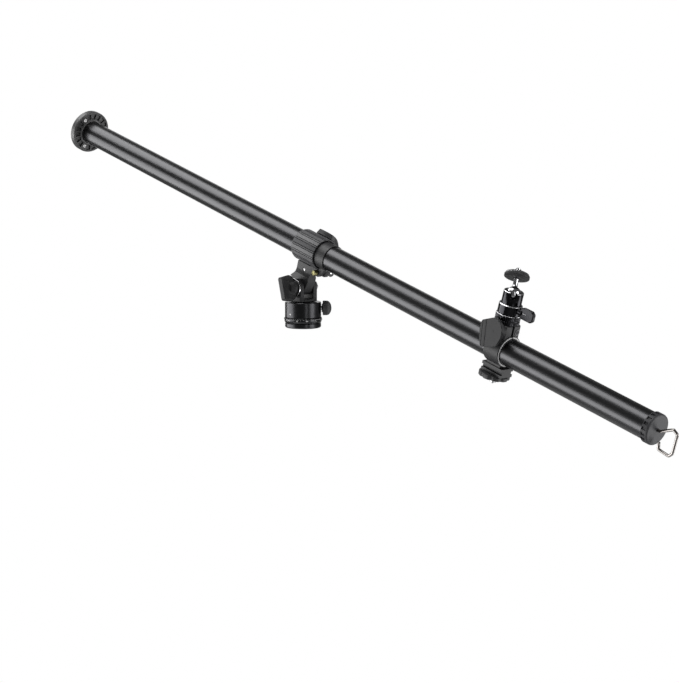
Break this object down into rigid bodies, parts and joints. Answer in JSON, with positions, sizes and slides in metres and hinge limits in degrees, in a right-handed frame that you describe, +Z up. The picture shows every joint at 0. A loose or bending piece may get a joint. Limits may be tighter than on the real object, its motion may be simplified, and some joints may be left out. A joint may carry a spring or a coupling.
{
  "type": "tripod extension arm",
  "caption": "Metal tube arm in a tilting, panning clamp head, with a flange at one end, a sprung hook at the other, and a sliding accessory clamp with a small ball head.",
  "frame": {"origin": "centre of the head's bottom face, on the pan axis, where the tripod's stud enters", "axes": "+Z up along the pan axis; +X towards the hook end of the arm; -Y is the side of the tilt knob and the paddle lever"},
  "size_m": [0.9282, 0.0573, 0.3123],
  "materials": {
    "black_paint": "fine textured black paint on aluminium",
    "dark_anodised": "dark satin anodised",
    "rubber": "matt black",
    "steel": "bright plated",
    "brass": "plain turned",
    "grey_plastic": "matt dark grey"
  },
  "bodies": {
    "base": {"base_plate": "black_paint", "thread_bush": "brass", "scale_ring": "dark_anodised"},
    "pan": {"pan_body": "black_paint", "pan_friction_ring": "grey_plastic", "pan_brake_shoe": "brass", "yoke_fork": "black_paint", "yoke_screw": "steel", "tilt_bolt": "steel", "tilt_washer": "steel", "tilt_disc_near": "grey_plastic", "tilt_disc_far": "grey_plastic"},
    "pan_lock": {"pan_lock_screw": "steel", "pan_lock_knob": "grey_plastic"},
    "tilt_lock": {"tilt_knob": "rubber", "tilt_nut": "brass"},
    "holder": {"arm_holder": "black_paint", "clamp_bolt": "steel", "clamp_nut": "brass", "lever_washer": "steel", "lever_pin": "steel"},
    "cam_lever": {"clamp_lever": "grey_plastic"},
    "collar": {"twist_collar": "rubber"},
    "collet_ring": {"collet": "grey_plastic"},
    "arm": {"arm_tube": "dark_anodised", "flange_plate": "black_paint", "tube_plug": "dark_anodised", "flange_stud": "steel", "flange_screw_1": "steel", "flange_screw_2": "steel", "flange_screw_3": "steel", "flange_pad": "rubber", "end_cap": "grey_plastic", "hook_spring": "steel"},
    "hook_slider": {"hook_washer": "steel"},
    "hook_wire": {"hook": "steel"},
    "liner": {"ring_liner": "grey_plastic"},
    "ring": {"accessory_ring": "black_paint", "ring_bolt": "steel", "ring_nut": "steel", "plate_stud": "steel", "base_stud": "steel"},
    "paddle": {"paddle_lever": "grey_plastic"},
    "thumb": {"thumb_disc": "black_paint"},
    "ball_head": {"ball_body": "black_paint", "pressure_pad": "brass"},
    "wing": {"wing_screw": "steel", "wing_knob": "grey_plastic"},
    "ball_joint": {"ball": "steel"},
    "seat": {"ball_stem": "steel", "top_disc": "black_paint", "disc_pad": "rubber", "top_stud": "steel"},
    "lock_ring": {"foot_lock_ring": "black_paint"}
  },
  "joints": [
    {"name": "pan_turn", "type": "hinge", "parent": "base", "child": "pan", "pos_m": [0, 0, 0], "axis": [0, 0, 1], "continuous": true},
    {"name": "pan_lock_turn", "type": "hinge", "parent": "pan", "child": "pan_lock", "pos_m": [0, 0, 0.0215], "axis": [0.682, 0.7314, 0], "continuous": true},
    {"name": "tilt_lock_turn", "type": "hinge", "parent": "pan", "child": "tilt_lock", "pos_m": [0, 0, 0.0446], "axis": [0, -1, 0], "continuous": true},
    {"name": "arm_tilt", "type": "hinge", "parent": "pan", "child": "holder", "pos_m": [0, 0, 0.0446], "axis": [0, 1, 0], "range_deg": [-79, 45]},
    {"name": "cam_lever_open", "type": "hinge", "parent": "holder", "child": "cam_lever", "pos_m": [0.02652, 0.0144, 0.0623], "axis": [-0.9588, 0, 0.284], "range_deg": [0, 90]},
    {"name": "collar_turn", "type": "hinge", "parent": "holder", "child": "collar", "pos_m": [0.01304, 0, 0.08861], "axis": [0.9588, 0, -0.284], "range_deg": [-60, 60]},
    {"name": "arm_turn", "type": "hinge", "parent": "holder", "child": "collet_ring", "pos_m": [0.01304, 0, 0.08861], "axis": [0.9588, 0, -0.284], "continuous": true},
    {"name": "arm_slide", "type": "slide", "parent": "collet_ring", "child": "arm", "axis": [0.9588, 0, -0.284], "range_m": [-0.1, 0.39]},
    {"name": "hook_pull", "type": "slide", "parent": "arm", "child": "hook_slider", "axis": [0.9588, 0, -0.284], "range_m": [0, 0.008], "stiffness_N_per_m": 300, "springref_m": -0.004, "deforming": ["hook_spring"]},
    {"name": "hook_swivel", "type": "hinge", "parent": "hook_slider", "child": "hook_wire", "pos_m": [0.48957, 0, -0.05255], "axis": [0.9588, 0, -0.284], "continuous": true},
    {"name": "clamp_slide", "type": "slide", "parent": "arm", "child": "liner", "axis": [0.9588, 0, -0.284], "range_m": [-0.07, 0.165]},
    {"name": "clamp_turn", "type": "hinge", "parent": "liner", "child": "ring", "pos_m": [0.29584, 0, 0.00484], "axis": [0.9588, 0, -0.284], "continuous": true},
    {"name": "paddle_turn", "type": "hinge", "parent": "ring", "child": "paddle", "pos_m": [0.30617, 0, 0.02368], "axis": [0, 1, 0], "range_deg": [-110, 15]},
    {"name": "thumb_turn", "type": "hinge", "parent": "ring", "child": "thumb", "pos_m": [0.28583, 0, -0.02296], "axis": [0.284, 0, 0.9588], "continuous": true},
    {"name": "head_swivel", "type": "hinge", "parent": "ring", "child": "ball_head", "pos_m": [0.30196, 0, 0.0315], "axis": [0.284, 0, 0.9588], "continuous": true},
    {"name": "lock_ring_turn", "type": "hinge", "parent": "ball_head", "child": "lock_ring", "pos_m": [0.30196, 0, 0.0315], "axis": [0.284, 0, 0.9588], "continuous": true},
    {"name": "wing_turn", "type": "hinge", "parent": "ball_head", "child": "wing", "pos_m": [0.30651, 0, 0.04684], "axis": [0.9588, 0, -0.284], "continuous": true},
    {"name": "ball_tilt", "type": "hinge", "parent": "ball_head", "child": "ball_joint", "pos_m": [0.3104, 0, 0.05998], "axis": [-0.7047, -0.6782, 0.2087], "range_deg": [-126.5, 8.5]},
    {"name": "disc_turn", "type": "hinge", "parent": "ball_joint", "child": "seat", "pos_m": [0.3104, 0, 0.05998], "axis": [-0.1585, 0.4371, 0.8853], "continuous": true}
  ]
}
